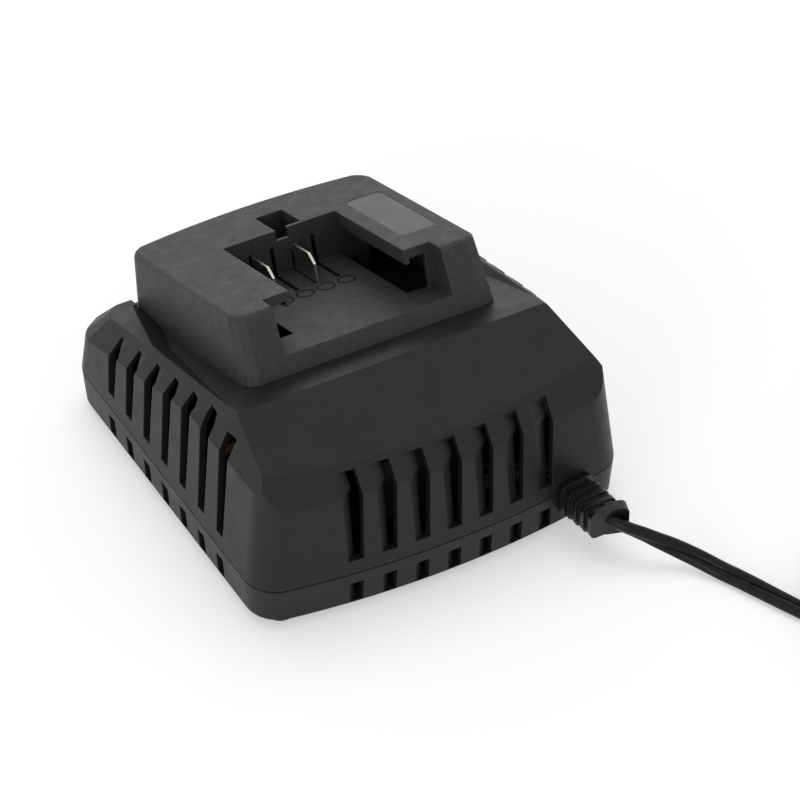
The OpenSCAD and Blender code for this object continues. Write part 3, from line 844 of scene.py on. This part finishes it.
@dataclass
class ContactMarks:
    """The plain rings moulded in the floor of the dock, one before each contact slit.

    Attributes:
        origin: Top edge of the contact wall, where the dock's own frame stands.
        tilt: Tilt of the dock, in degrees.
        floor: Depth of the dock's floor.
        slits: How many contact slits there are.
        pitch: Distance between contacts.
        ahead: How far the rings lie in front of the contact wall.
        shift: How far they lie beside the slits.
        radius: Radius of a ring.
        line: Width of its line.
        proud: How far it stands out of the floor.
        sunk: How far it reaches into the floor.
        crown: How much of its line is flat on top, as a share of the line's width.
        sides: How many sides a ring has.
    """

    origin: Place = (0, 40.25, 53.4)
    tilt: float = 18
    floor: float = 13.8
    slits: int = 4
    pitch: float = 6.72
    ahead: float = 18
    shift: float = 0.5
    radius: float = 2.55
    line: float = 0.7
    proud: float = 0.12
    sunk: float = 0.05
    crown: float = 0.6
    sides: int = 32

    def build(self) -> None:
        """Makes the rings as one piece."""
        turn = Matrix.Rotation(math.radians(-self.tilt), 3, "X")
        middle = (self.slits - 1) / 2
        row = [(i - middle) * self.pitch + self.shift for i in range(self.slits)]
        points, faces = joined([self.ring(Vector((x, -self.ahead, -self.floor))) for x in row])
        placed = [turn @ p + Vector(self.origin) for p in points]
        # The rings are nearly black: painted shade of the dark slits in the dock's floor.
        add_piece("contact_marks", placed, faces, SLIT_SHADE_NYLON, "dock_plastic")

    def ring(self, centre: Vector) -> Shell:
        """Makes one ring with rounded shoulders in the dock's frame.

        Args:
            centre: Its middle, on the floor.

        Returns:
            Its points and faces.
        """
        half, low = self.line / 2, -self.sunk
        crown = half * self.crown
        profile = [(-half, low), (-crown, self.proud), (crown, self.proud), (half, low)]
        rings = []
        for i in range(self.sides):
            a = math.tau * i / self.sides
            out = Vector((math.cos(a), math.sin(a), 0))
            rings.append([centre + out * (self.radius + x) + UP * z for x, z in profile])
        return tube(rings, closed=True)


@dataclass
class Tie:
    """The flat nylon tie round the coil's bundle, with its square head on top.

    Attributes:
        middle: The middle of the bundle under it, at table level.
        out: Direction across the bundle, away from the middle of the coil.
        half: Half of the width inside its loop.
        high: Height of the top of the loop's inside.
        low: Height of the bottom of the loop's inside.
        corner: Radius of the loop's corners.
        steps: How many pieces a corner is cut into.
        band: Width of its band.
        thickness: Thickness of its band.
        head_length: Length of its head, along the band.
        head_width: Width of its head.
        head_rise: Heights of the foot and the top of its head above the loop's inside.
        chamfer: How far the ends of the head are cut back.
    """

    middle: Vector
    out: Vector
    half: float
    high: float
    low: float = 0.55
    corner: float = 1.6
    steps: int = 6
    band: float = 2.5
    thickness: float = 0.5
    head_length: float = 4.0
    head_width: float = 4.4
    head_rise: tuple[float, float] = (0.2, 2.4)
    chamfer: float = 0.4

    def at(self, x: float, y: float, z: float) -> Vector:
        """Gives the point x out from the bundle's middle, y along it and z up."""
        return self.middle + self.out * x + UP.cross(self.out) * y + UP * z

    def build(self) -> bpy.types.Object:
        """Makes the tie as one flat-shaded piece."""
        points, faces = joined([self.loop(), self.head()])
        piece = add_piece("lead_tie", points, faces, TIE_NYLON, "cord_jacket")
        piece.data.shade_flat()
        return piece

    def loop(self) -> Shell:
        """Makes the band that runs round the bundle."""
        side = self.half - self.corner
        top, bottom = self.high - self.corner, self.low + self.corner
        corners = ((side, top), (-side, top), (-side, bottom), (side, bottom))
        edge, inside, outside = self.band / 2, self.corner, self.corner + self.thickness
        section = ((-edge, inside), (edge, inside), (edge, outside), (-edge, outside))
        rings = []
        for quarter, (x, z) in enumerate(corners):
            for step in range(self.steps + 1):
                a = math.radians(90 * (quarter + step / self.steps))
                out, up = math.cos(a), math.sin(a)
                rings.append([self.at(x + r * out, y, z + r * up) for y, r in section])
        return tube(rings, closed=True)

    def head(self) -> Shell:
        """Makes the head, with its two ends cut back."""
        end = self.head_length / 2
        foot = self.high + self.head_rise[0]
        rings = []
        for x, inset in ((-end, 1), (self.chamfer - end, 0), (end - self.chamfer, 0), (end, 1)):
            side = self.head_width / 2 - self.chamfer * inset
            top = self.high + self.head_rise[1] - self.chamfer * inset
            outline = ((-side, foot), (side, foot), (side, top), (-side, top))
            rings.append([self.at(x, y, z) for y, z in outline])
        return tube(rings)


@dataclass(frozen=True)
class Turn:
    """Where one turn of the coil lies, counted in leads from the middle of the bundle."""

    column: int
    layer: int


@dataclass
class FlatLead:
    """The flat two-core mains lead, from the strain relief to the plug.

    Attributes:
        width: Width of the lead.
        thickness: Its thickness.
        near: Points from the strain relief to the coil, with the roll of the lead there in
            degrees. It leaves the strain relief nearly edge-on and twists as it sinks.
        far: Points from the coil to the plug.
        centre: Middle of the coil.
        radius: Radius of the coil's middle column.
        column_pitch: Distance between columns of the coil.
        layer_pitch: Distance between its layers.
        entry: Angle at which the lead joins the coil, in degrees.
        change: Angle at which it moves on to the next place in the bundle, in degrees.
        exit: Angle at which it leaves the coil, in degrees.
        turns: The places that it takes in the bundle, in order.
        move: How far before and after the change it is on its way, in degrees.
        rise: Angles between which the outer turns rise over the lead where it comes in.
        fall: Angles between which they come down again.
        outer: Columns at which a turn begins to rise there, and rises fully.
        clearance: Gap between the lead and the table.
        knot_step: Distance between knots on the coil, in degrees.
        core_points: How many points each core has in the section.
        tie_angle: Where the tie sits, in degrees.
        tie_lift: How far the tie lifts the bundle.
        tie_reach: Angles either side of the tie at which the lift is full, and at which
            it has ended.
        tie_slack: Gap between the tie and either side of the bundle.
    """

    width: float = 5.4
    thickness: float = 3.4
    near: Sequence[tuple[float, float, float, float]] = (
        (43.3, -75.1, 12.4, 52),
        (43.9, -77.1, 12.3, 52),
        (45.1, -79.1, 11.9, 48),
        (47.2, -81.1, 11.0, 52),
        (49.8, -83.2, 9.8, 62),
        (52.6, -85.6, 8.3, 78),
        (55.6, -88.1, 6.8, 98),
        (58.3, -90.7, 5.4, 116),
        (60.9, -93.7, 4.2, 130),
        (63.2, -96.9, 3.2, 137),
        (65.3, -100.4, 2.5, 140),
        (67.4, -104.7, 2.0, 146),
        (69.7, -109.7, 1.8, 156),
        (72.2, -115.3, 1.8, 167),
        (74.9, -121.3, 1.8, 176),
        (77.8, -127.6, 1.8, 180),
        (80.9, -134.4, 1.8, 180),
        (84.0, -141.2, 1.8, 180),
    )
    far: Sequence[Place] = (
        (142.4, -120.8, 1.8),
        (141.1, -116.4, 1.8),
        (140.6, -111.8, 1.8),
        (140.6, -107.5, 2.4),
        (140.6, -103.0, 3.6),
        (140.6, -98.5, 5.2),
        (140.6, -94.0, 6.5),
        (140.6, -88.4, 7.4),
    )
    centre: tuple[float, float] = (112.6, -136.3)
    radius: float = 28
    column_pitch: float = 5.4
    layer_pitch: float = 3.45
    entry: float = 204.5
    change: float = 155
    exit: float = 22
    turns: Sequence[Turn] = (
        Turn(0, 0),
        Turn(-1, 0),
        Turn(-1, 1),
        Turn(-1, 2),
        Turn(0, 2),
        Turn(0, 1),
        Turn(1, 1),
        Turn(1, 0),
    )
    move: float = 40
    rise: tuple[float, float] = (122, 160)
    fall: tuple[float, float] = (206, 244)
    outer: tuple[float, float] = (0.2, 0.9)
    clearance: float = 0.15
    knot_step: float = 12
    core_points: int = 15
    tie_angle: float = 90
    tie_lift: float = 0.6
    tie_reach: tuple[float, float] = (6, 22)
    tie_slack: float = 0.1

    def lowest(self, roll: float) -> float:
        """Gives how high the lead's middle lies above the table at a roll, in degrees."""
        core = (self.width - self.thickness) / 2
        return core * abs(math.sin(math.radians(roll))) + self.thickness / 2 + self.clearance

    def on_coil(self, angle: float) -> Vector:
        """Gives a point of the coil.

        Args:
            angle: How far the lead has gone round, in degrees.

        Returns:
            The middle of the lead there.
        """
        column, layer = float(self.turns[0].column), float(self.turns[0].layer)
        for count, (last, new) in enumerate(zip(self.turns, self.turns[1:]), start=1):
            middle = self.change + 360 * count
            share = smooth(angle, middle - self.move, middle + self.move)
            column += (new.column - last.column) * share
            layer += (new.layer - last.layer) * share
        here = angle % 360
        over = smooth(here, *self.rise) - smooth(here, *self.fall)
        layer += over * smooth(column, *self.outer)
        full, ended = self.tie_reach
        lift = self.tie_lift * (
            smooth(here, self.tie_angle - ended, self.tie_angle - full)
            - smooth(here, self.tie_angle + full, self.tie_angle + ended)
        )
        out = self.radius + self.column_pitch * column
        a = math.radians(angle)
        return Vector(
            (
                self.centre[0] + out * math.cos(a),
                self.centre[1] + out * math.sin(a),
                self.lowest(0) + layer * self.layer_pitch + lift,
            )
        )

    def knots(self) -> list[tuple[Vector, float]]:
        """Gives the points that the whole lead passes, each with its roll in degrees."""
        found = [(Vector((x, y, max(z, self.lowest(roll)))), roll) for x, y, z, roll in self.near]
        end = self.exit + 360 * len(self.turns)
        steps = round((end - self.entry) / self.knot_step)
        for i in range(steps + 1):
            found.append((self.on_coil(self.entry + (end - self.entry) * i / steps), 180.0))
        found += [(Vector(p), 180.0) for p in self.far]
        return found

    def line(self, split: int = 3) -> list[tuple[Vector, float]]:
        """Runs a smooth curve through the knots.

        Args:
            split: How many pieces each stretch between knots is cut into.

        Returns:
            Points of the curve, each with the roll of the lead there.
        """
        knots = self.knots()
        last = len(knots) - 1
        curve = []
        for i in range(last):
            p0, p1, p2, p3 = (knots[min(max(i + k, 0), last)][0] for k in (-1, 0, 1, 2))
            for step in range(split):
                t = step / split
                point = 0.5 * (
                    2 * p1
                    + (p2 - p0) * t
                    + (2 * p0 - 5 * p1 + 4 * p2 - p3) * t * t
                    + (3 * p1 - p0 - 3 * p2 + p3) * t * t * t
                )
                curve.append((point, knots[i][1] * (1 - t) + knots[i + 1][1] * t))
        curve.append(knots[-1])
        return curve

    def section(self) -> list[tuple[float, float]]:
        """Gives the outline of the lead: two round cores with a groove between them."""
        r = self.thickness / 2
        core = (self.width - self.thickness) / 2
        waist = math.degrees(math.acos(core / r))
        outline = []
        for side in (1, -1):
            start = -(180 - waist) if side > 0 else waist
            for i in range(self.core_points):
                a = math.radians(start + (360 - 2 * waist) * i / (self.core_points - 1))
                outline.append((side * core + r * math.cos(a), r * math.sin(a)))
        return outline

    def build(self) -> None:
        curve = self.line()
        points = [p for p, _ in curve]
        outline = self.section()
        rings = []
        for i, (point, roll) in enumerate(curve):
            ahead = points[min(i + 1, len(points) - 1)] - points[max(i - 1, 0)]
            across = ahead.cross(UP).normalized()
            above = across.cross(ahead).normalized()
            turn = math.radians(roll)
            flat = across * math.cos(turn) + above * math.sin(turn)
            edge = above * math.cos(turn) - across * math.sin(turn)
            rings.append([point + flat * x + edge * z for x, z in outline])
        lead = add_piece("mains_lead", *tube(rings), LEAD_PVC, "cord_jacket")
        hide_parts("power_cord", "cord_tail", "cord_coil")
        tie = self.tie()

    def tie(self) -> bpy.types.Object:
        """Makes the tie round the coil's bundle."""
        a = math.radians(self.tie_angle)
        out = Vector((math.cos(a), math.sin(a), 0))
        columns = {turn.column for turn in self.turns}
        layers = {turn.layer for turn in self.turns}
        return Tie(
            middle=Vector((*self.centre, 0)) + out * self.radius,
            out=out,
            half=len(columns) / 2 * self.column_pitch + self.tie_slack,
            high=len(layers) * self.layer_pitch + self.tie_lift,
        ).build()


# ---------------------------------------------------------------- studio


@dataclass(frozen=True)
class SoftBox:
    """A square lamp with a diffuser.

    Attributes:
        name: Its name.
        place: Where it hangs, in millimetres.
        size: Length of its side, in millimetres.
        power: Its power, in watts.
        aim: The point that it faces, in millimetres.
        gloss: Whether glossy surfaces mirror it.
    """

    name: str
    place: Place
    size: float
    power: float
    aim: Place = (0, 0, 30)
    gloss: bool = True

    def build(self) -> None:
        """Hangs the lamp and turns it to its aim."""
        lamp = bpy.data.lights.new(self.name, "AREA")
        lamp.energy = self.power
        lamp.size = self.size * MM
        hung = bpy.data.objects.new(self.name, lamp)
        bpy.context.scene.collection.objects.link(hung)
        hung.location = Vector(self.place) * MM
        hung.visible_glossy = self.gloss
        hung.rotation_mode = "QUATERNION"
        way = Vector(self.aim) - Vector(self.place)
        hung.rotation_quaternion = way.to_track_quat("-Z", "Y")


@dataclass
class Studio:
    """A white table, a white room and soft lamps.

    Attributes:
        floor_half: Half of the table's side, in millimetres.
        floor_colour: sRGB hex colour of the table.
        floor_top_up: What the table adds for the eye, so that it reads as white.
        room: Strength of the room's own light.
        lamps: The lamps.
    """

    floor_half: float = 3000
    floor_colour: str = "#f2f2f2"
    floor_top_up: float = 0.4
    room: float = 0.42
    lamps: Sequence[SoftBox] = (
        SoftBox("softbox_over", (150, 350, 1250), 900, 4.4, gloss=False),
        SoftBox("softbox_back", (650, 1150, 420), 800, 1.3),
        SoftBox("softbox_left", (-900, -620, 360), 600, 3.0),
    )

    def build(self) -> None:
        """Makes the table, the room and the lamps."""
        self.table()
        self.walls()
        for lamp in self.lamps:
            lamp.build()
        bpy.context.scene.view_settings.view_transform = "Standard"
        LOG.info("studio: %d lamps", len(self.lamps))

    def seen(self, tree: bpy.types.NodeTree) -> Socket:
        """Tells whether a ray comes from the eye, straight or by way of gloss or glass.

        Args:
            tree: The tree to work in.

        Returns:
            1 for such a ray and 0 for any other.
        """
        path = add_node(tree, "LightPath")
        share = path.outputs["Is Camera Ray"]
        for other in ("Is Glossy Ray", "Is Transmission Ray"):
            share = add_node(
                tree, "Math", {"operation": "MAXIMUM"}, {0: share, 1: path.outputs[other]}
            ).outputs[0]
        return share

    def table(self) -> None:
        """Makes the pale table, which keeps the charger's shadow."""
        size = self.floor_half * MM
        mesh = bpy.data.meshes.new("table")
        mesh.from_pydata(
            [(-size, -size, 0), (size, -size, 0), (size, size, 0), (-size, size, 0)],
            [],
            [(0, 1, 2, 3)],
        )
        table = bpy.data.objects.new("table", mesh)
        bpy.context.scene.collection.objects.link(table)
        made = bpy.data.materials.new("paper_sweep_matt")
        made.use_nodes = True
        tree = made.node_tree
        tree.nodes.remove(tree.nodes["Principled BSDF"])
        out = tree.nodes["Material Output"]
        paper = add_node(tree, "BsdfDiffuse", {"Color": linear(self.floor_colour)})
        glow = add_node(tree, "Emission", {"Strength": self.floor_top_up})
        both = add_node(tree, "AddShader", None, {0: paper.outputs[0], 1: glow.outputs[0]})
        mix = add_node(
            tree,
            "MixShader",
            None,
            {0: self.seen(tree), 1: paper.outputs[0], 2: both.outputs[0]},
        )
        tree.links.new(mix.outputs[0], out.inputs["Surface"])
        mesh.materials.append(made)

    def walls(self) -> None:
        """Makes the room white to the eye and even in its light."""
        world = bpy.data.worlds.new("white_room")
        bpy.context.scene.world = world
        world.use_nodes = True
        tree = world.node_tree
        light = add_node(tree, "Background", {"Color": (1, 1, 1, 1), "Strength": self.room})
        white = add_node(tree, "Background", {"Color": (1, 1, 1, 1), "Strength": 1.0})
        mix = add_node(
            tree,
            "MixShader",
            None,
            {0: self.seen(tree), 1: light.outputs[0], 2: white.outputs[0]},
        )
        tree.links.new(mix.outputs[0], tree.nodes["World Output"].inputs["Surface"])


@dataclass
class Viewpoint:
    """The camera, from the front and above, a little to the left.

    Attributes:
        target: The point that it faces, in millimetres.
        azimuth: How far round it stands, in degrees.
        elevation: How far above the table it looks from, in degrees.
        distance: Its distance from the target, in millimetres.
        lens: Its focal length, in millimetres.
        sensor: Width of its sensor, in millimetres.
        reach: The nearest and the farthest that it sees, in metres.
    """

    target: Place = (2.76, -26.52, 37.0)
    azimuth: float = -29.39
    elevation: float = 40.57
    distance: float = 1094.4
    lens: float = 174.78
    sensor: float = 36
    reach: tuple[float, float] = (0.05, 20)

    def build(self) -> None:
        """Sets up the scene's camera."""
        a, e = math.radians(self.azimuth), math.radians(self.elevation)
        back = Vector((math.sin(a) * math.cos(e), -math.cos(a) * math.cos(e), math.sin(e)))
        camera = bpy.data.objects.new("camera", bpy.data.cameras.new("camera"))
        bpy.context.scene.collection.objects.link(camera)
        camera.data.sensor_width = self.sensor
        camera.data.sensor_fit = "HORIZONTAL"
        camera.data.lens = self.lens
        camera.data.clip_start, camera.data.clip_end = self.reach
        camera.location = (Vector(self.target) + back * self.distance) * MM
        camera.rotation_mode = "QUATERNION"
        camera.rotation_quaternion = (-back).to_track_quat("-Z", "Y")
        bpy.context.scene.camera = camera
        LOG.info("camera: %.0f mm away", self.distance)


def corners(box: tuple[Vector, Vector]) -> list[list[float]]:
    """Gives a box's two corners as plain lists of numbers."""
    return [list(map(float, corner)) for corner in box]


def main() -> None:
    """Builds the camera, the lead, the dressed parts, the contact marks and the studio."""
    logging.basicConfig(level=logging.INFO, format="%(name)s: %(message)s")
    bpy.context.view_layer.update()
    Viewpoint().build()
    FlatLead().build()
    for group in (CASE, DOCK, ELECTRONICS, MAINS_ENDS):
        group.build()
    ContactMarks().build()
    Studio().build()


if __name__ == "__main__":
    main()
